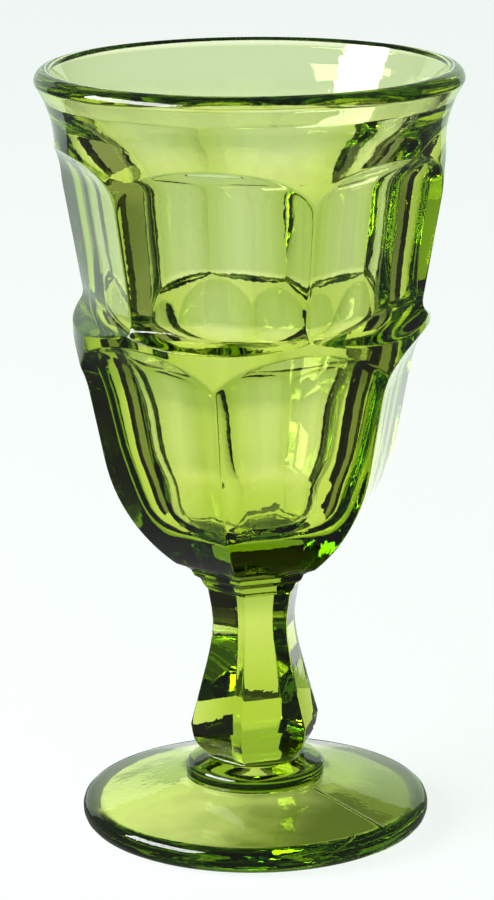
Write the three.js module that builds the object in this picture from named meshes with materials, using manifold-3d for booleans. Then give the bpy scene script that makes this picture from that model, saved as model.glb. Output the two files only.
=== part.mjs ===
import * as THREE from 'three';
import { mergeVertices, toCreasedNormals } from 'three/addons/utils/BufferGeometryUtils.js';
import Module from 'manifold-3d';

// Claret wine glass in green pressed glass, in millimetres, +Z up, standing on z = 0 round the Z axis.

// Heights of the joints, from the table up.
const HEIGHT = 133.35;
const BOWL_Z = 47.1;
const NECK_Z = 42.6;
const COLLAR_TOP_Z = 11.9;
const COLLAR_Z = 8.3;

// The pattern: flat panels round the axis, the two tiers of the bowl staggered by half a panel.
const SIDES = 6;
const CORNER = 1 / Math.cos(Math.PI / SIDES);
const UPPER_TURN = 0;
const LOWER_TURN = Math.PI / SIDES;

// Bowl, outside before the panels are cut: rolled lip, flared throat, shoulder and middle band.
// Depths are measured down from the rim.
const LIP_R = 36.25;
const LIP_ROUND = 1.2;
const LIP_DEPTH = 2.36;
const LIP_UNDER_ROUND = 0.25;
const ROLL = 1.38;
const ROLL_DEPTH = 2.96;
const ROLL_ROUND = 0.35;
const THROAT_R = 33.05;
const THROAT_DEPTH = 9.6;
const THROAT_ROUND = 16;
const SHOULDER_DEPTH = 22.85;
const SHOULDER_ROUND = 20;
const BAND_R = 30.5;
const BAND_DEPTH = 36.85;
const BAND_ROUND = 40;

// Upper panels: distance of the flat from the axis at its top and its foot, and the hollows that end it.
const UPPER_TOP_DEPTH = 11.35;
const UPPER_TOP_FLAT = 30;
const UPPER_TOP_HOLLOW = 9;
const UPPER_LOW_DEPTH = 45.85;
const UPPER_LOW_FLAT = 24.64;
const UPPER_LOW_HOLLOW = 10;

// Lower panels: arch head, flat side, turn of the bowl and the run in to the neck.
// Rises are measured up from the foot of the bowl.
const LOWER_TOP_DEPTH = 38.35;
const LOWER_TOP_FLAT = 27.92;
const LOWER_TOP_HOLLOW = 18.6;
const LOWER_TURN_RISE = 8.5;
const LOWER_TURN_FLAT = 20.87;
const LOWER_TURN_ROUND = 35;
const LOWER_END_FLAT = 11.5;

// Bowl, inside: walls measured in from the lip, the throat, the panels and the band, and a thick floor.
const LIP_WALL = 2;
const MOUTH_ROUND = 0.75;
const THROAT_WALL = 3.3;
const THROAT_BORE_DEPTH = 10.85;
const THROAT_BORE_ROUND = 25;
const PANEL_WALL = 2.6;
const PANEL_BORE_DEPTH = 17.75;
const PANEL_BORE_ROUND = 12;
const BAND_WALL = 7;
const BAND_BORE_DEPTH = 41.85;
const BAND_BORE_ROUND = 40;
const LOWER_WALL = 5.4;
const LOWER_BORE_RISE = 20.4;
const LOWER_BORE_ROUND = 25;
const FLOOR_THICK = 8.8;
const FLOOR_R = 13.2;
const FLOOR_ROUND = 7;

// Neck: soft steps between the stem and the bowl, given by the corners of the lowest and the highest.
const STEPS = 3;
const STEP_LOW_R = 9.15;
const STEP_TOP_R = 12.6;
const STEP_ROUND = 0.3;
const GROOVE_DEPTH = 0.35;

// Stem: corner radii of the baluster, from its foot up.
const STEM_FOOT_R = 7.9;
const KNOP_BELLY_R = 10.9;
const KNOP_BELLY_Z = 14.9;
const KNOP_R = 11.8;
const KNOP_Z = 18.4;
const STEM_FLARE_R = 10.25;
const STEM_FLARE_Z = 24;
const STEM_SLIM_R = 8.15;
const STEM_SLIM_Z = 32;
const WAIST_R = 7.6;
const WAIST_Z = 37;
const STEM_HEAD_R = 8.4;

// Collar under the stem: a rounded girdle with a small cove below it and a slope above it.
const COLLAR_R = 12.1;
const COLLAR_ROUND = 1.5;
const COLLAR_SLOPE = 1;
const COLLAR_COVE = 0.2;
const COLLAR_COVE_ROUND = 0.3;
const COLLAR_FOOT_R = 11.4;
const COLLAR_HEAD_R = 8.6;

// Foot.
const FOOT_R = 30.35;
const FOOT_BASE_ROUND = 2.65;
const FOOT_EDGE_ROUND = 1.9;
const FOOT_RISE_R = 13.5;
const FOOT_RISE_ROUND = 6;
const REST_R = 23.5;
const DISH_DEPTH = 4.4;

// Fineness of the round work.
const TURNS = 72;
const ARC_STEP = Math.PI / 14;
const BELLY_POINTS = 8;
const SHAFT_POINTS = 20;
const CREASE = Math.PI / 9;
const FAR = 2 * LIP_R;

const wasm = await Module();
wasm.setup();

const glass = new THREE.MeshStandardMaterial({ color: 0xa9c93f, roughness: 0.05, metalness: 0 });

// Points of an open outline given by corners [x, z, rounding]; a rounded corner becomes an arc.
function outline(corners) {
  const points = corners.map(([x, z]) => new THREE.Vector2(x, z));
  const path = [];
  corners.forEach(([, , round = 0], i) => {
    const tip = points[i];
    if (round === 0) {
      path.push(tip);
      return;
    }
    const back = points[i - 1].clone().sub(tip).normalize();
    const on = points[i + 1].clone().sub(tip).normalize();
    const half = Math.acos(back.dot(on)) / 2;
    const middle = back.clone().add(on).normalize();
    const centre = tip.clone().addScaledVector(middle, round / Math.sin(half));
    const first = tip.clone().addScaledVector(back, round / Math.tan(half)).sub(centre);
    const sweep = (Math.PI - 2 * half) * Math.sign(back.cross(on));
    const count = Math.max(2, Math.ceil(Math.abs(sweep) / ARC_STEP));
    for (let k = 0; k <= count; k += 1) {
      const spoke = first.clone().rotateAround(new THREE.Vector2(), -sweep * (k / count));
      path.push(centre.clone().add(spoke));
    }
  });
  return path;
}

// Smooth outline through a few points.
function flowing(corners, count) {
  return new THREE.SplineCurve(corners.map(([x, z]) => new THREE.Vector2(x, z))).getPoints(count);
}

function solid(geometry) {
  geometry.deleteAttribute('normal');
  geometry.deleteAttribute('uv');
  const welded = mergeVertices(geometry, 1e-4);
  const index = welded.index.array;
  const triVerts = [];
  for (let i = 0; i < index.length; i += 3) {
    const [a, b, c] = index.slice(i, i + 3);
    if (a !== b && b !== c && c !== a) {
      triVerts.push(a, b, c);
    }
  }
  return new wasm.Manifold(new wasm.Mesh({
    numProp: 3,
    vertProperties: welded.attributes.position.array,
    triVerts: new Uint32Array(triVerts),
  }));
}

// Turns a closed outline that starts and ends on the axis.
function turned(points) {
  const geometry = new THREE.LatheGeometry(points, TURNS);
  geometry.rotateX(Math.PI / 2);
  return solid(geometry);
}

// Cuts the same panel into a body on every side; the outline is the panel seen from its edge.
function panelled(body, edge, turn) {
  const shape = new THREE.Shape([
    ...edge,
    new THREE.Vector2(FAR, edge[edge.length - 1].y),
    new THREE.Vector2(FAR, edge[0].y),
  ]);
  let cut = body;
  for (let side = 0; side < SIDES; side += 1) {
    const geometry = new THREE.ExtrudeGeometry(shape, { depth: 2 * FAR, bevelEnabled: false });
    geometry.translate(0, 0, -FAR);
    geometry.rotateX(Math.PI / 2);
    geometry.rotateZ(-Math.PI / 2 + turn + (side * 2 * Math.PI) / SIDES);
    cut = cut.subtract(solid(geometry));
  }
  return cut;
}

function piece(name, body) {
  const { vertProperties, triVerts } = body.getMesh();
  const geometry = new THREE.BufferGeometry();
  geometry.setAttribute('position', new THREE.BufferAttribute(vertProperties, 3));
  geometry.setIndex(new THREE.BufferAttribute(triVerts, 1));
  const mesh = new THREE.Mesh(toCreasedNormals(geometry, CREASE), glass);
  mesh.name = name;
  return mesh;
}

// Foot: a disc with a rounded edge, a rising top and a dish underneath, so that it stands on a ring.
const foot = turned(outline([
  [0, DISH_DEPTH],
  [REST_R, 0],
  [FOOT_R, 0, FOOT_BASE_ROUND],
  [FOOT_R, FOOT_BASE_ROUND + FOOT_EDGE_ROUND, FOOT_EDGE_ROUND],
  [FOOT_RISE_R, COLLAR_Z, FOOT_RISE_ROUND],
  [COLLAR_FOOT_R, COLLAR_Z],
  [0, COLLAR_Z],
]));

// Collar: a rounded ring between the foot and the stem.
const collar = turned(outline([
  [0, COLLAR_Z],
  [COLLAR_FOOT_R, COLLAR_Z],
  [COLLAR_R, COLLAR_Z + COLLAR_COVE, COLLAR_COVE_ROUND],
  [COLLAR_R, COLLAR_TOP_Z - COLLAR_SLOPE, COLLAR_ROUND],
  [COLLAR_HEAD_R, COLLAR_TOP_Z],
  [0, COLLAR_TOP_Z],
]));

// Stem: a baluster whose facets run down over a knop with a sharp girdle.
const stemEdge = [
  ...flowing([[STEM_FOOT_R, COLLAR_TOP_Z], [KNOP_BELLY_R, KNOP_BELLY_Z], [KNOP_R, KNOP_Z]], BELLY_POINTS),
  ...flowing([
    [KNOP_R, KNOP_Z],
    [STEM_FLARE_R, STEM_FLARE_Z],
    [STEM_SLIM_R, STEM_SLIM_Z],
    [WAIST_R, WAIST_Z],
    [STEM_HEAD_R, NECK_Z],
  ], SHAFT_POINTS).slice(1),
].map(({ x, y }) => new THREE.Vector2(x / CORNER, y));
const stemBlank = turned(outline([
  [0, COLLAR_TOP_Z],
  [KNOP_R * CORNER, COLLAR_TOP_Z],
  [KNOP_R * CORNER, NECK_Z],
  [0, NECK_Z],
]));
const stem = panelled(stemBlank, stemEdge, LOWER_TURN);

// Neck: a flared ring of soft steps with the same facets as the stem, a shallow groove above each step.
const neckHeight = BOWL_Z - NECK_Z;
const stepTip = (i) => new THREE.Vector2(
  THREE.MathUtils.mapLinear(i, 0, STEPS - 1, STEP_LOW_R, STEP_TOP_R) / CORNER,
  NECK_Z + (neckHeight * (i + 0.5)) / (STEPS - 0.5),
);
const neckCorners = [[STEM_HEAD_R / CORNER, NECK_Z]];
for (let i = 0; i < STEPS - 1; i += 1) {
  const tip = stepTip(i);
  const next = stepTip(i + 1);
  const along = next.clone().sub(tip).normalize();
  const inward = new THREE.Vector2(-along.y, along.x);
  const groove = tip.clone().lerp(next, 0.5).addScaledVector(inward, GROOVE_DEPTH);
  neckCorners.push([tip.x, tip.y, STEP_ROUND], [groove.x, groove.y, STEP_ROUND]);
}
neckCorners.push(stepTip(STEPS - 1).toArray());
const neckBlank = turned(outline([
  [0, NECK_Z],
  [STEP_TOP_R * CORNER, NECK_Z],
  [STEP_TOP_R * CORNER, BOWL_Z],
  [0, BOWL_Z],
]));
const neck = panelled(neckBlank, outline(neckCorners), LOWER_TURN);

// Bowl: a thick flared cup with two staggered tiers of panels and a scalloped band left between them.
const upperTopZ = HEIGHT - UPPER_TOP_DEPTH;
const upperLowZ = HEIGHT - UPPER_LOW_DEPTH;
const lowerTopZ = HEIGHT - LOWER_TOP_DEPTH;
const lowerTurnZ = BOWL_Z + LOWER_TURN_RISE;
const panelBoreZ = HEIGHT - PANEL_BORE_DEPTH;
const lowerBoreZ = BOWL_Z + LOWER_BORE_RISE;
const floorZ = BOWL_Z + FLOOR_THICK;
const upperFlat = (z) => THREE.MathUtils.mapLinear(z, upperLowZ, upperTopZ, UPPER_LOW_FLAT, UPPER_TOP_FLAT);
const lowerFlat = (z) => THREE.MathUtils.mapLinear(z, lowerTurnZ, lowerTopZ, LOWER_TURN_FLAT, LOWER_TOP_FLAT);
const cup = turned(outline([
  [0, BOWL_Z],
  [BAND_R, BOWL_Z],
  [BAND_R, HEIGHT - BAND_DEPTH, BAND_ROUND],
  [THROAT_R, HEIGHT - SHOULDER_DEPTH, SHOULDER_ROUND],
  [THROAT_R, HEIGHT - THROAT_DEPTH, THROAT_ROUND],
  [LIP_R - ROLL, HEIGHT - ROLL_DEPTH, ROLL_ROUND],
  [LIP_R, HEIGHT - LIP_DEPTH, LIP_UNDER_ROUND],
  [LIP_R, HEIGHT, LIP_ROUND],
  [LIP_R - LIP_WALL, HEIGHT, MOUTH_ROUND],
  [THROAT_R - THROAT_WALL, HEIGHT - THROAT_BORE_DEPTH, THROAT_BORE_ROUND],
  [upperFlat(panelBoreZ) - PANEL_WALL, panelBoreZ, PANEL_BORE_ROUND],
  [BAND_R - BAND_WALL, HEIGHT - BAND_BORE_DEPTH, BAND_BORE_ROUND],
  [lowerFlat(lowerBoreZ) - LOWER_WALL, lowerBoreZ, LOWER_BORE_ROUND],
  [FLOOR_R, floorZ, FLOOR_ROUND],
  [0, floorZ],
]));
const upperEdge = outline([
  [FAR, upperLowZ],
  [UPPER_LOW_FLAT, upperLowZ, UPPER_LOW_HOLLOW],
  [UPPER_TOP_FLAT, upperTopZ, UPPER_TOP_HOLLOW],
  [FAR, upperTopZ],
]).slice(1, -1);
const lowerEdge = outline([
  [LOWER_END_FLAT, BOWL_Z],
  [LOWER_TURN_FLAT, lowerTurnZ, LOWER_TURN_ROUND],
  [LOWER_TOP_FLAT, lowerTopZ, LOWER_TOP_HOLLOW],
  [FAR, lowerTopZ],
]).slice(0, -1);
const bowl = panelled(panelled(cup, upperEdge, UPPER_TURN), lowerEdge, LOWER_TURN);

const goblet = new THREE.Group();
goblet.name = 'claret_wine_glass';
goblet.add(piece('foot', foot));
goblet.add(piece('foot_collar', collar));
goblet.add(piece('stem', stem));
goblet.add(piece('neck_ring', neck));
goblet.add(piece('bowl', bowl));

export default goblet;
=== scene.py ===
import math

import bpy
import numpy as np
from mathutils import Matrix, Vector


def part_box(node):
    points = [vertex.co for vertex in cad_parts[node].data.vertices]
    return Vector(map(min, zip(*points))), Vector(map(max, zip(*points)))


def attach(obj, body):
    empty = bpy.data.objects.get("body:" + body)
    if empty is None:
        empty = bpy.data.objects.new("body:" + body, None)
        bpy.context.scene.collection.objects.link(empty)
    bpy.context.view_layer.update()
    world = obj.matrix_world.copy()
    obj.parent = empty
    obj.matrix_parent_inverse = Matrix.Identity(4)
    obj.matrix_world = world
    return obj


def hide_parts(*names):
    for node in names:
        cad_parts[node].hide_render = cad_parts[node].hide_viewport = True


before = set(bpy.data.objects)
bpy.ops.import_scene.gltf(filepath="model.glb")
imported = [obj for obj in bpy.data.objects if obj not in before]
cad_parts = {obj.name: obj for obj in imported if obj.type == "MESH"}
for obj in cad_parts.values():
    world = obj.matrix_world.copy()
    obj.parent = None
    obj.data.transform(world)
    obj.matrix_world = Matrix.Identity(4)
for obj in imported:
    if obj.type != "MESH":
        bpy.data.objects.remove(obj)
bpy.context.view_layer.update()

# Units: sizes are in millimetres and angles in degrees until a mesh is made in metres.
MM = 0.001


# Heights that the frame gives
def top_of(node):
    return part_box(node)[1].z / MM


COLLAR_Z = top_of("foot")
COLLAR_TOP_Z = top_of("foot_collar")
NECK_Z = top_of("stem")
BOWL_Z = top_of("neck_ring")
HEIGHT = top_of("bowl")
FOOT_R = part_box("foot")[1].x / MM

# Foot and collar
DISH_DEPTH = 5.4
REST_R = 26.8
DISH_ROUND = 4.0
FOOT_BASE_ROUND = 2.65
FOOT_EDGE_ROUND = 1.9
FOOT_EDGE_Z = FOOT_BASE_ROUND + FOOT_EDGE_ROUND
FOOT_RISE_R = 13.5
FOOT_RISE_ROUND = 6.0
COLLAR_R = 12.1
COLLAR_FOOT_R = 11.4
COLLAR_HEAD_R = 8.6
COLLAR_ROUND = 1.5
COLLAR_SLOPE = 1.0
COLLAR_COVE = 0.2
COLLAR_COVE_ROUND = 0.3
SEAM_TURN = 60.0
SEAM_HALF = 0.9
SEAM_RISE = 0.12

# Stem: corner radius of the hexagon at each height, below and above the knop's girdle
KNOP = (11.8, 18.4)
BELLY = [(7.9, COLLAR_TOP_Z), (10.9, 14.9), KNOP]
SHAFT = [KNOP, (10.25, 24.0), (8.15, 32.0), (7.6, 37.0), (8.4, NECK_Z)]

# Neck: soft steps, given by the corner radii of the lowest and the highest
STEPS = 3
STEP_LOW_R = 9.15
STEP_TOP_R = 12.6
STEP_ROUND = 0.3
GROOVE_DEPTH = 0.35

# Bowl outside, before the panels are pressed into it
BAND_R = 30.5
BAND_Z = HEIGHT - 36.85
BAND_ROUND = 40.0
THROAT_R = 33.05
SHOULDER_Z = HEIGHT - 22.85
SHOULDER_ROUND = 20.0
THROAT_Z = HEIGHT - 9.6
THROAT_ROUND = 16.0
LIP_R = 36.25
LIP_ROUND = 2.1
LIP_LOW_Z = HEIGHT - 2.3
LIP_UNDER_ROUND = 0.4
ROLL_R = LIP_R - 1.5
ROLL_Z = HEIGHT - 5.0
ROLL_ROUND = 0.6

# Panels: six round the upper bowl and six, turned half a panel, round the lower bowl
SIDES = 6
HALF_PANEL = 180.0 / SIDES
RIDGE_COSINE = math.cos(math.radians(HALF_PANEL))
UPPER_TURN = 0.0
LOWER_TURN = UPPER_TURN + HALF_PANEL
UPPER_TOP_Z = HEIGHT - 11.35
UPPER_TOP_FLAT = 30.0
UPPER_TOP_HOLLOW = 9.0
UPPER_LOW_Z = HEIGHT - 40.95
UPPER_LOW_FLAT = 25.41
UPPER_LOW_HOLLOW = 3.0
UPPER_LOW_FALL = 0.6
UPPER_SWELL = 1.1
UPPER_SWELL_Z = (HEIGHT - 41.0, HEIGHT - 29.0)
LOWER_TOP_Z = HEIGHT - 38.35
LOWER_TOP_FLAT = 27.92
LOWER_TOP_HOLLOW = 18.6
LOWER_TURN_Z = BOWL_Z + 8.5
LOWER_TURN_FLAT = 20.87
LOWER_TURN_ROUND = 35.0
LOWER_END_FLAT = 11.5
FAR = 2 * LIP_R
RIDGE_SOFT = 0.010
STEM_SOFT = 0.03
EDGE_SOFT = 0.32

# Bowl inside: radius, height and rounding at each corner of the bore
MOUTH_R = LIP_R - 2.45
FLOOR_Z = BOWL_Z + 8.8
MOUTH_ROUND = 1.0
THROAT_BORE = (28.5, HEIGHT - 10.85, 25.0)
PANEL_BORE = (25.6, HEIGHT - 17.75, 12.0)
BAND_BORE = (22.9, HEIGHT - 41.85, 40.0)
LOWER_BORE = (18.2, BOWL_Z + 20.4, 25.0)
FLOOR_BORE = (13.2, FLOOR_Z, 7.0)
BORE = [
    (MOUTH_R, HEIGHT, MOUTH_ROUND), THROAT_BORE, PANEL_BORE, BAND_BORE, LOWER_BORE, FLOOR_BORE,
    (0.0, FLOOR_Z),
]

# Where the lip's own outline starts on the outside, and ends as a share of the bore's first stretch
LIP_START_Z = ROLL_Z - 0.8
LIP_END_SHARE = 0.15
MOUTH_SPOT, THROAT_SPOT = np.array(BORE[0][:2]), np.array(BORE[1][:2])
BORE_START = tuple(MOUTH_SPOT + (THROAT_SPOT - MOUTH_SPOT) * LIP_END_SHARE)

# Camera, fitted to the photograph
CAMERA_TURN = 12.0
CAMERA_BACK = 601.07
CAMERA_UP = 221.42
CAMERA_SIDE = -0.96
CAMERA_PITCH = 14.435
CAMERA_ROLL = 0.499
CAMERA_LENS = 144.1
CAMERA_SENSOR = 36.0
CAMERA_NEAR = 0.05


# Outlines, and the largest turn in degrees between two points on a rounding
TURN_STEP = 3.0
NECK_TURN_STEP = 6.0
PROFILE_TURN_STEP = 1.0
PROFILE_STEPS = 4000


def rounded(corners, step=TURN_STEP):
    """Points along an outline whose corners are (radius, height, rounding)."""
    points = []
    spots = [np.array(c[:2], float) for c in corners]
    for i, corner in enumerate(corners):
        bend = corner[2] if len(corner) > 2 else 0
        if not bend:
            points.append(spots[i])
            continue
        back = spots[i - 1] - spots[i]
        back /= np.linalg.norm(back)
        ahead = spots[i + 1] - spots[i]
        ahead /= np.linalg.norm(ahead)
        half = math.acos(np.clip(back @ ahead, -1, 1)) / 2
        middle = (back + ahead) / np.linalg.norm(back + ahead)
        centre = spots[i] + middle * bend / math.sin(half)
        start = spots[i] + back * bend / math.tan(half) - centre
        sweep = -(math.pi - 2 * half) * np.sign(back[0] * ahead[1] - back[1] * ahead[0])
        count = max(2, math.ceil(abs(sweep) / math.radians(step)))
        for t in np.linspace(0, sweep, count + 1):
            turn = np.array([[math.cos(t), -math.sin(t)], [math.sin(t), math.cos(t)]])
            points.append(centre + turn @ start)
    return np.array(points)


def spaced(points, count):
    """The outline again, with its points evenly spaced along it."""
    along = np.r_[0, np.cumsum(np.hypot(*np.diff(points, axis=0).T))]
    t = np.linspace(0, along[-1], count)
    return np.stack([np.interp(t, along, points[:, 0]), np.interp(t, along, points[:, 1])], 1)


def flowing(knots, steps):
    """Points on a smooth curve through the knots; each step counts the knots passed, with its fraction."""
    knots = np.array(knots, float)
    last = len(knots) - 1
    i = np.clip(np.floor(steps).astype(int), 0, last - 1)
    t = (steps - i)[:, None]
    leave = (knots[i + 1] - knots[np.maximum(i - 1, 0)]) / 2
    reach = (knots[np.minimum(i + 2, last)] - knots[i]) / 2
    return (
        knots[i] * (1 + 2 * t) * (1 - t) ** 2
        + knots[i + 1] * t * t * (3 - 2 * t)
        + leave * t * (1 - t) ** 2
        - reach * t * t * (1 - t)
    )


def soft_min(a, b, soft):
    """The smaller of two values, with the change from one to the other rounded."""
    h = np.maximum(soft - np.abs(a - b), 0) / soft
    return np.minimum(a, b) - h * h * soft / 4


def panel_cosine(theta, turn, soft):
    """Cosine of the angle to the nearest panel's middle, with the ridges between panels rounded."""
    pitch = 2 * math.pi / SIDES
    phi = np.abs((theta - math.radians(turn) + pitch / 2) % pitch - pitch / 2)
    return -soft_min(-np.cos(phi), -np.cos(pitch - phi), soft)


def eased(count, crowd):
    """Steps from 0 to 1 that crowd towards both ends as crowd grows."""
    t = np.linspace(0, 1, count)
    return (1 - crowd) * t + crowd * 0.5 * (1 - np.cos(math.pi * t))


def profile(corners):
    """Radius as a function of height along an outline that only climbs."""
    points = spaced(rounded(corners, PROFILE_TURN_STEP), PROFILE_STEPS)
    order = np.argsort(points[:, 1], kind="stable")
    z, r = points[order, 1], points[order, 0]
    return lambda height: np.interp(height, z, r)


# The skin of the glass: rings of points from the middle of the base, up the outside and down the bore.
# A ring is its radius and height, each one number or one for each column of points.
HALF_STEPS = [0.0, 0.35, 0.8, 1.4, 2.3, 3.7, 5.7, 8.4, 11.6]
FOOT_RINGS = 56
COLLAR_RINGS = 24
BELLY_RINGS = 26
BELLY_CROWD = 0.6
SHAFT_RINGS = 50
SHAFT_CROWD = 0.5
NECK_RINGS = 36
LIP_RINGS = 48
BORE_RINGS = 72

# Stretches up the bowl's outside: rings in each, and how much they crowd towards its ends
BOWL_STRETCHES = [(28, 0.2), (28, 0.6), (18, 0.75), (24, 0.6), (28, 0.6), (12, 0.6), (10, 0.0)]

# Heights that split those stretches, and heights from which the panels' edges are searched
LOWER_SPLIT_Z = LOWER_TOP_Z - 25.0
UPPER_SPLIT_Z = UPPER_TOP_Z - 17.0
THROAT_SPLIT_Z = UPPER_TOP_Z + 1.0
ARCH_SEARCH_Z = UPPER_TOP_Z - 14.0
LEDGE_SEARCH_Z = UPPER_TOP_Z - 16.0
LEDGE_SEARCH_DROP = 3.0
LOWER_SEARCH_Z = LOWER_TOP_Z - 21.0
EDGE_GAP = 0.01
SEARCH_STEPS = 3001


def column_angles():
    """Angles round the glass, crowded at the panels' middles and ridges."""
    sector = HALF_STEPS + [HALF_PANEL / 2] + [HALF_PANEL - s for s in HALF_STEPS[:0:-1]]
    return np.radians([HALF_PANEL * k + s for k in range(2 * SIDES) for s in sector])


def foot_rings(theta):
    """The dish underneath, the edge and the top, with the fin of the mould's seam on the top."""
    outline = [
        (0, DISH_DEPTH), (REST_R, 0, DISH_ROUND), (FOOT_R, 0, FOOT_BASE_ROUND),
        (FOOT_R, FOOT_EDGE_Z, FOOT_EDGE_ROUND), (FOOT_RISE_R, COLLAR_Z, FOOT_RISE_ROUND),
        (COLLAR_FOOT_R, COLLAR_Z),
    ]
    away = np.abs(np.degrees(theta) - SEAM_TURN)
    seam = SEAM_RISE * np.clip(1 - away / SEAM_HALF, 0, 1)
    rings = []
    for r, z in spaced(rounded(outline), FOOT_RINGS)[1:]:
        on_top = z > FOOT_EDGE_Z and r > FOOT_RISE_R
        rings.append((r, z + seam if on_top else z))
    return rings


def collar_rings():
    outline = [
        (COLLAR_FOOT_R, COLLAR_Z), (COLLAR_R, COLLAR_Z + COLLAR_COVE, COLLAR_COVE_ROUND),
        (COLLAR_R, COLLAR_TOP_Z - COLLAR_SLOPE, COLLAR_ROUND), (COLLAR_HEAD_R, COLLAR_TOP_Z),
    ]
    return spaced(rounded(outline), COLLAR_RINGS)[1:]


def stem_rings(hexagon):
    """The knop's belly below its girdle, and the shaft above it."""
    belly = flowing(BELLY, (len(BELLY) - 1) * eased(BELLY_RINGS, BELLY_CROWD))
    shaft = flowing(SHAFT, (len(SHAFT) - 1) * eased(SHAFT_RINGS, SHAFT_CROWD))
    return [(r * hexagon, z) for r, z in [*belly, *shaft[1:]]]


def neck_rings(hexagon):
    """Steps that widen towards the bowl, with a groove between each two."""
    tips = np.array([
        (STEP_LOW_R + (STEP_TOP_R - STEP_LOW_R) * i / (STEPS - 1),
         NECK_Z + (BOWL_Z - NECK_Z) * (i + 0.5) / (STEPS - 0.5))
        for i in range(STEPS)
    ])
    outline = [SHAFT[-1]]
    for tip, after in zip(tips, tips[1:]):
        along = (after - tip) / np.linalg.norm(after - tip)
        groove = (tip + after) / 2 + GROOVE_DEPTH * np.array([-along[1], along[0]])
        outline += [(*tip, STEP_ROUND), (*groove, STEP_ROUND)]
    outline.append(tuple(tips[-1]))
    return [(r * hexagon, z) for r, z in spaced(rounded(outline, NECK_TURN_STEP), NECK_RINGS)[1:]]


# Radius of the bowl's blank at each height, and of the flats that are pressed into it
blank = profile([
    (BAND_R, BOWL_Z), (BAND_R, BAND_Z, BAND_ROUND), (THROAT_R, SHOULDER_Z, SHOULDER_ROUND),
    (THROAT_R, THROAT_Z, THROAT_ROUND), (ROLL_R, ROLL_Z),
])
upper_flat = profile([
    (FAR, UPPER_LOW_Z - UPPER_LOW_FALL * (FAR - UPPER_LOW_FLAT)),
    (UPPER_LOW_FLAT, UPPER_LOW_Z, UPPER_LOW_HOLLOW),
    (UPPER_TOP_FLAT, UPPER_TOP_Z, UPPER_TOP_HOLLOW), (FAR, UPPER_TOP_Z),
])
lower_flat = profile([
    (LOWER_END_FLAT, BOWL_Z), (LOWER_TURN_FLAT, LOWER_TURN_Z, LOWER_TURN_ROUND),
    (LOWER_TOP_FLAT, LOWER_TOP_Z, LOWER_TOP_HOLLOW), (FAR, LOWER_TOP_Z),
])


def upper_panel(z, cosine):
    """Radius of an upper panel, which swells a little in the middle of its foot."""
    t = np.clip((UPPER_SWELL_Z[1] - z) / (UPPER_SWELL_Z[1] - UPPER_SWELL_Z[0]), 0, 1)
    swell = UPPER_SWELL * t * t * (3 - 2 * t)
    return upper_flat(z) / cosine + swell * (cosine - RIDGE_COSINE) / (1 - RIDGE_COSINE)


def lower_panel(z, cosine):
    return lower_flat(z) / cosine


def panel_edge(panel, cosine, low, high):
    """Height at which each column of a panel meets the blank, between low and high."""
    z = np.linspace(low, high, SEARCH_STEPS)
    gap = panel(z[None, :], cosine[:, None]) - blank(z)[None, :]
    i = ((gap[:, :-1] < 0) & (gap[:, 1:] >= 0)).argmax(1)
    rows = np.arange(len(cosine))
    before, after = gap[rows, i], gap[rows, i + 1]
    return z[i] + (z[i + 1] - z[i]) * before / (before - after)


def bowl_rings(theta):
    """The bowl's outside, with a ring along the arches and the feet of the panels."""
    upper = panel_cosine(theta, UPPER_TURN, RIDGE_SOFT)
    lower = panel_cosine(theta, LOWER_TURN, RIDGE_SOFT)
    upper_arch = panel_edge(upper_panel, upper, ARCH_SEARCH_Z, UPPER_TOP_Z - EDGE_GAP)
    upper_foot = panel_edge(upper_panel, upper, LEDGE_SEARCH_Z, UPPER_LOW_Z - LEDGE_SEARCH_DROP)
    lower_arch = panel_edge(lower_panel, lower, LOWER_SEARCH_Z, LOWER_TOP_Z - EDGE_GAP)
    ends = [
        BOWL_Z, LOWER_SPLIT_Z, lower_arch, upper_foot,
        UPPER_SPLIT_Z, upper_arch, THROAT_SPLIT_Z, LIP_START_Z,
    ]
    rings = []
    for start, end, (count, crowd) in zip(ends, ends[1:], BOWL_STRETCHES):
        for t in eased(count + 1, crowd)[1:]:
            z = start + (end - start) * t
            r = soft_min(blank(z), upper_panel(z, upper), EDGE_SOFT)
            rings.append((soft_min(r, lower_panel(z, lower), EDGE_SOFT), z))
    return rings


def lip_rings():
    outline = [
        (blank(LIP_START_Z), LIP_START_Z), (ROLL_R, ROLL_Z, ROLL_ROUND), (LIP_R, LIP_LOW_Z, LIP_UNDER_ROUND),
        (LIP_R, HEIGHT, LIP_ROUND), BORE[0], BORE_START,
    ]
    return spaced(rounded(outline), LIP_RINGS)[1:]


def bore_rings():
    return spaced(rounded([BORE_START] + BORE[1:]), BORE_RINGS)[1:-1]


def skin(theta):
    hexagon = RIDGE_COSINE / panel_cosine(theta, LOWER_TURN, STEM_SOFT)
    return [
        *foot_rings(theta), *collar_rings(), *stem_rings(hexagon), *neck_rings(hexagon),
        *bowl_rings(theta), *lip_rings(), *bore_rings(),
    ]


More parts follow.
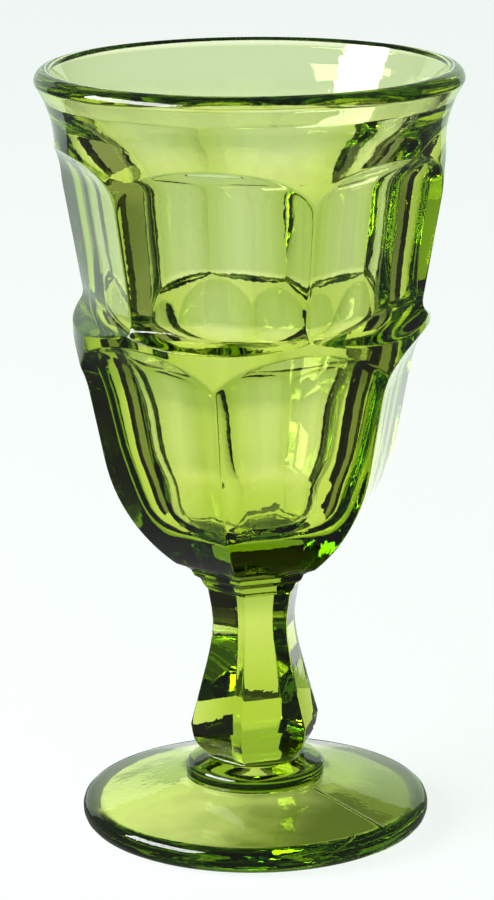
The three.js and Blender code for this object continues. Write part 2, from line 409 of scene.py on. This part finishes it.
def closed_mesh(name, theta, rings):
    """One closed body from the rings, with a point at the middle of the base and of the bore's floor."""
    radius = np.array([np.broadcast_to(r, len(theta)) for r, z in rings])
    height = np.array([np.broadcast_to(z, len(theta)) for r, z in rings])
    points = np.stack([radius * np.sin(theta), -radius * np.cos(theta), height], -1)
    rows, columns = radius.shape
    index = np.arange(rows * columns).reshape(rows, columns)
    beside = np.roll(index, -1, 1)
    quads = np.stack([index[:-1], beside[:-1], beside[1:], index[1:]], -1).reshape(-1, 4)
    base, floor = rows * columns, rows * columns + 1
    verts = np.vstack([points.reshape(-1, 3), [[0, 0, DISH_DEPTH], [0, 0, FLOOR_Z]]]) * MM
    faces = quads.tolist()
    faces += [[base, int(b), int(a)] for a, b in zip(index[0], beside[0])]
    faces += [[floor, int(a), int(b)] for a, b in zip(index[-1], beside[-1])]
    mesh = bpy.data.meshes.new(name)
    mesh.from_pydata(verts.tolist(), [], faces)
    mesh.update()
    mesh.shade_smooth()
    return mesh


def placed(name, data):
    thing = bpy.data.objects.new(name, data)
    bpy.context.scene.collection.objects.link(thing)
    return thing


# Materials: absorption is per metre in red, green and blue, and the wave sizes are in metres
GLASS_IOR = 1.52
ABSORB = (45.0, 30.0, 162.0)
ABSORB_DENSITY = 200.0
WAVE_DETAIL = 1.0
RIPPLE_SCALE = 900.0
RIPPLE_DEPTH = 0.000009
WAVE_SCALE = 110.0
WAVE_DEPTH = 0.00007
WEAR_HEIGHT = 0.0003
WEAR_ROUGHNESS = 0.25


def green_glass():
    material = bpy.data.materials.new("green_glass")
    material.use_nodes = True
    nodes, links = material.node_tree.nodes, material.node_tree.links
    shader = nodes["Principled BSDF"]
    shader.inputs["Base Color"].default_value = (1, 1, 1, 1)
    shader.inputs["IOR"].default_value = GLASS_IOR
    shader.inputs["Transmission Weight"].default_value = 1.0
    volume = nodes.new("ShaderNodeVolumeAbsorption")
    volume.inputs["Color"].default_value = (*[1 - a / ABSORB_DENSITY for a in ABSORB], 1)
    volume.inputs["Density"].default_value = ABSORB_DENSITY
    links.new(volume.outputs[0], nodes["Material Output"].inputs["Volume"])
    spot = nodes.new("ShaderNodeTexCoord")
    under = None
    for scale, depth in ((WAVE_SCALE, WAVE_DEPTH), (RIPPLE_SCALE, RIPPLE_DEPTH)):
        noise = nodes.new("ShaderNodeTexNoise")
        noise.inputs["Scale"].default_value = scale
        noise.inputs["Detail"].default_value = WAVE_DETAIL
        links.new(spot.outputs["Object"], noise.inputs["Vector"])
        bump = nodes.new("ShaderNodeBump")
        bump.inputs["Distance"].default_value = depth
        links.new(noise.outputs[0], bump.inputs["Height"])
        if under:
            links.new(under.outputs["Normal"], bump.inputs["Normal"])
        under = bump
    links.new(under.outputs["Normal"], shader.inputs["Normal"])
    height = nodes.new("ShaderNodeSeparateXYZ")
    links.new(spot.outputs["Object"], height.inputs[0])
    worn = nodes.new("ShaderNodeMapRange")
    worn.inputs["From Max"].default_value = WEAR_HEIGHT
    worn.inputs["To Min"].default_value = WEAR_ROUGHNESS
    worn.inputs["To Max"].default_value = 0.0
    links.new(height.outputs["Z"], worn.inputs["Value"])
    links.new(worn.outputs["Result"], shader.inputs["Roughness"])
    return material


# Painted caustics: noise patches that make a paper's glow uneven
CAUSTIC_MOTTLE_SCALE = 90.0
CAUSTIC_MOTTLE_DETAIL = 3.0


def paper(name, colour, glow=1.0, shade=0.0):
    """Matt card that glows a little, so that it stays pale and still takes a shadow."""
    material = bpy.data.materials.new(name)
    material.use_nodes = True
    nodes = material.node_tree.nodes
    shader = nodes["Principled BSDF"]
    shader.inputs["Base Color"].default_value = (*[c * shade for c in colour], 1)
    shader.inputs["Roughness"].default_value = 1.0
    shader.inputs["Specular IOR Level"].default_value = 0.0
    shader.inputs["Emission Color"].default_value = (*colour, 1)
    shader.inputs["Emission Strength"].default_value = glow
    return material


def graded(material, near, far, start, end, axis=None, caustic_mottle=0.0):
    """Glow of a paper that changes along an axis, or outwards from the glass when there is none."""
    nodes, links = material.node_tree.nodes, material.node_tree.links
    spot = nodes.new("ShaderNodeTexCoord")
    measure = nodes.new("ShaderNodeVectorMath")
    measure.operation = "DOT_PRODUCT" if axis else "LENGTH"
    links.new(spot.outputs["Object"], measure.inputs[0])
    if axis:
        measure.inputs[1].default_value = axis
    share = nodes.new("ShaderNodeMapRange")
    share.interpolation_type = "SMOOTHSTEP"
    share.inputs["From Min"].default_value = start
    share.inputs["From Max"].default_value = end
    # Painted caustic patches: noise that shifts where the glow changes
    caustic_patches = nodes.new("ShaderNodeTexNoise")
    caustic_patches.inputs["Scale"].default_value = CAUSTIC_MOTTLE_SCALE
    caustic_patches.inputs["Detail"].default_value = CAUSTIC_MOTTLE_DETAIL
    links.new(spot.outputs["Object"], caustic_patches.inputs["Vector"])
    uneven = nodes.new("ShaderNodeMath")
    uneven.operation = "MULTIPLY_ADD"
    uneven.inputs[1].default_value = caustic_mottle
    links.new(caustic_patches.outputs[0], uneven.inputs[0])
    links.new(measure.outputs["Value"], uneven.inputs[2])
    links.new(uneven.outputs[0], share.inputs["Value"])
    blend = nodes.new("ShaderNodeMix")
    blend.data_type = "RGBA"
    blend.inputs["A"].default_value = (*near, 1)
    blend.inputs["B"].default_value = (*far, 1)
    links.new(share.outputs["Result"], blend.inputs["Factor"])
    links.new(blend.outputs["Result"], nodes["Principled BSDF"].inputs["Emission Color"])
    return material


STUDIO = Matrix.Rotation(math.radians(CAMERA_TURN), 4, "Z")


def toward(azimuth, reach, height):
    """A point by its bearing in degrees to the right of straight away from the camera."""
    a = math.radians(azimuth)
    return STUDIO @ Vector((reach * math.sin(a), reach * math.cos(a), height))


def card(name, points, faces, material):
    mesh = bpy.data.meshes.new(name)
    mesh.from_pydata(points, [], faces)
    mesh.materials.append(material)
    thing = placed(name, mesh)
    return thing


def lamp(name, place, size, power, aim):
    light = bpy.data.lights.new(name, "AREA")
    light.shape = "RECTANGLE"
    light.size, light.size_y = size
    light.energy = power
    thing = placed(name, light)
    thing.location = place
    thing.rotation_euler = (aim - place).to_track_quat("-Z", "Y").to_euler()
    return thing


columns = column_angles()
glass = placed("claret_glass", closed_mesh("claret_glass", columns, skin(columns)))
glass.data.materials.append(green_glass())
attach(glass, "root")
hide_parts("foot", "foot_collar", "stem", "neck_ring", "bowl")

# Studio, in metres. The camera sees the floor. The glass sees bright paper on it and cards beyond it, with
# darkness between the cards.
PAPER = (0.945, 1.0, 0.97)
# Painted light falloff: the sheet and cards glow brighter near the glass and darker far away
PAPER_NEAR = (1.2, 1.26, 1.24)
PAPER_FAR = (0.74, 0.88, 0.74)
PAPER_FADE = (0.08, 0.5)
FLOOR_GLOW = 0.895
FLOOR_SHADE = 0.14
FLOOR_REACH = 3.0
FLOOR_DROP = -0.0004
SHEET_DROP = -0.0002
UNDER_DROP = -0.0001
SHEET_R = 0.08
CIRCLE_STEP = 10
CARD_REACH = 1.6
CARD_STEP = 8.0

# Paper under the foot, seen only through the glass: painted light on the left, painted shadow towards the
# right, a painted contact shadow round the edge, and painted caustic patches
UNDER_PAINTED_LIGHT = (1.1, 1.24, 0.72)
UNDER_PAINTED_SHADOW = (0.15, 0.22, 0.02)
UNDER_PAINTED_FADE = (-0.008, 0.028)
UNDER_LIGHT_BEARING = 115
UNDER_CAUSTIC_MOTTLE = 0.022
PAINTED_CONTACT_SHADOW = (0.07, 0.09, 0.05)
CONTACT_R = 0.0265
CONTACT_END_R = 0.037

# Cards: left and right bearing, height of the top in degrees, and glow. The first also shows in reflections.
CARDS = [
    (-47, 33, 27, 1.0), (90, 114, 5, 1.0), (165, 195, 20, 1.0), (-94, -64, 5, 0.35),
    (135, 159, 8, 0.6), (-136, -112, 8, 0.6), (50, 68, 5, 0.3),
]


def lit_paper(name, glow=1.0):
    return graded(paper(name, PAPER, glow), PAPER_NEAR, PAPER_FAR, *PAPER_FADE)


def circle(radius, height):
    return [toward(a, radius, height) for a in range(0, 360, CIRCLE_STEP)]


def disc(name, radius, height, material):
    points = circle(radius, height)
    return card(name, points, [list(range(len(points)))[::-1]], material)


corners = [(-1, -1), (1, -1), (1, 1), (-1, 1)]
floor_points = [(FLOOR_REACH * x, FLOOR_REACH * y, FLOOR_DROP) for x, y in corners]
floor = card("floor", floor_points, [(0, 1, 2, 3)], paper("white_paper", PAPER, FLOOR_GLOW, FLOOR_SHADE))
floor.visible_glossy = False
floor.visible_transmission = False

sheet = disc("sheet", SHEET_R, SHEET_DROP, lit_paper("bright_paper"))
# Painted light and shadow: this paper glows bright on the lamp's side and fades to dark on the far side, in
# place of light through the glass and the glass's shadow
painted_light_and_shade = graded(
    paper("painted_light_and_shade_paper", PAPER), UNDER_PAINTED_LIGHT, UNDER_PAINTED_SHADOW, *UNDER_PAINTED_FADE,
    axis=toward(UNDER_LIGHT_BEARING, 1, 0), caustic_mottle=UNDER_CAUSTIC_MOTTLE,
)
under = disc("under_foot", CONTACT_R, UNDER_DROP, painted_light_and_shade)
# Painted contact shadow: a dark ring round the foot's edge, seen only through the glass
ring_points = circle(CONTACT_R, UNDER_DROP) + circle(CONTACT_END_R, UNDER_DROP)
count = len(ring_points) // 2
around = [(i, (i + 1) % count, count + (i + 1) % count, count + i) for i in range(count)]
contact = card("contact", ring_points, around, paper("contact_shadow", PAINTED_CONTACT_SHADOW))
hidden = [sheet, under, contact]
for thing in hidden:
    thing.visible_glossy = False
for number, (left, right, top, glow) in enumerate(CARDS):
    bearings = np.linspace(left, right, 1 + math.ceil((right - left) / CARD_STEP))
    rise = CARD_REACH * math.tan(math.radians(top))
    near = [toward(a, SHEET_R, SHEET_DROP) for a in bearings]
    far = [toward(a, CARD_REACH, SHEET_DROP) for a in bearings]
    high = [toward(a, CARD_REACH, rise) for a in bearings]
    count = len(bearings)
    faces = [(i, i + 1, count + i + 1, count + i) for i in range(count - 1)]
    faces += [(count + i, count + i + 1, 2 * count + i + 1, 2 * count + i) for i in range(count - 1)]
    window = card(f"card_{number}", near + far + high, faces, lit_paper(f"card_paper_{number}", glow))
    window.visible_glossy = number == 0
    hidden.append(window)
for thing in hidden:
    thing.visible_camera = False
    thing.visible_diffuse = False
    thing.visible_shadow = False

# World: nearly dark, and a dim room in mirror reflections
ROOM_DARK = 0.014
ROOM_MIRRORED = 0.16
world = bpy.data.worlds.new("studio")
bpy.context.scene.world = world
world.use_nodes = True
nodes, links = world.node_tree.nodes, world.node_tree.links
ray = nodes.new("ShaderNodeLightPath")
mirrored = nodes.new("ShaderNodeMath")
mirrored.operation = "SUBTRACT"
links.new(ray.outputs["Is Glossy Ray"], mirrored.inputs[0])
links.new(ray.outputs["Is Transmission Ray"], mirrored.inputs[1])
room = nodes.new("ShaderNodeMath")
room.operation = "MULTIPLY_ADD"
room.inputs[1].default_value = ROOM_MIRRORED
room.inputs[2].default_value = ROOM_DARK
links.new(mirrored.outputs[0], room.inputs[0])
nodes["Background"].inputs["Color"].default_value = (1, 1, 1, 1)
links.new(room.outputs[0], nodes["Background"].inputs["Strength"])

LAMP_BEARING = -110.0
LAMP_RISE = math.radians(28.0)
LAMP_REACH = 1.0
LAMP_SIZE = (1.0, 0.42)
LAMP_POWER = 20
AIM_Z = 0.08
lamp_place = toward(LAMP_BEARING, LAMP_REACH * math.cos(LAMP_RISE), AIM_Z + LAMP_REACH * math.sin(LAMP_RISE))
lamp("softbox", lamp_place, LAMP_SIZE, LAMP_POWER, Vector((0, 0, AIM_Z)))

camera = placed("camera", bpy.data.cameras.new("camera"))
camera.data.sensor_width = CAMERA_SENSOR
camera.data.lens = CAMERA_LENS
camera.data.clip_start = CAMERA_NEAR
stand = Matrix.Translation(Vector((CAMERA_SIDE, -CAMERA_BACK, CAMERA_UP)) * MM)
tilt = Matrix.Rotation(math.radians(90 - CAMERA_PITCH), 4, "X")
camera.matrix_world = STUDIO @ stand @ tilt @ Matrix.Rotation(-math.radians(CAMERA_ROLL), 4, "Z")

BOUNCES = 32
scene = bpy.context.scene
scene.camera = camera
scene.view_settings.view_transform = "Standard"
scene.cycles.max_bounces = BOUNCES
scene.cycles.transmission_bounces = BOUNCES
scene.cycles.glossy_bounces = BOUNCES
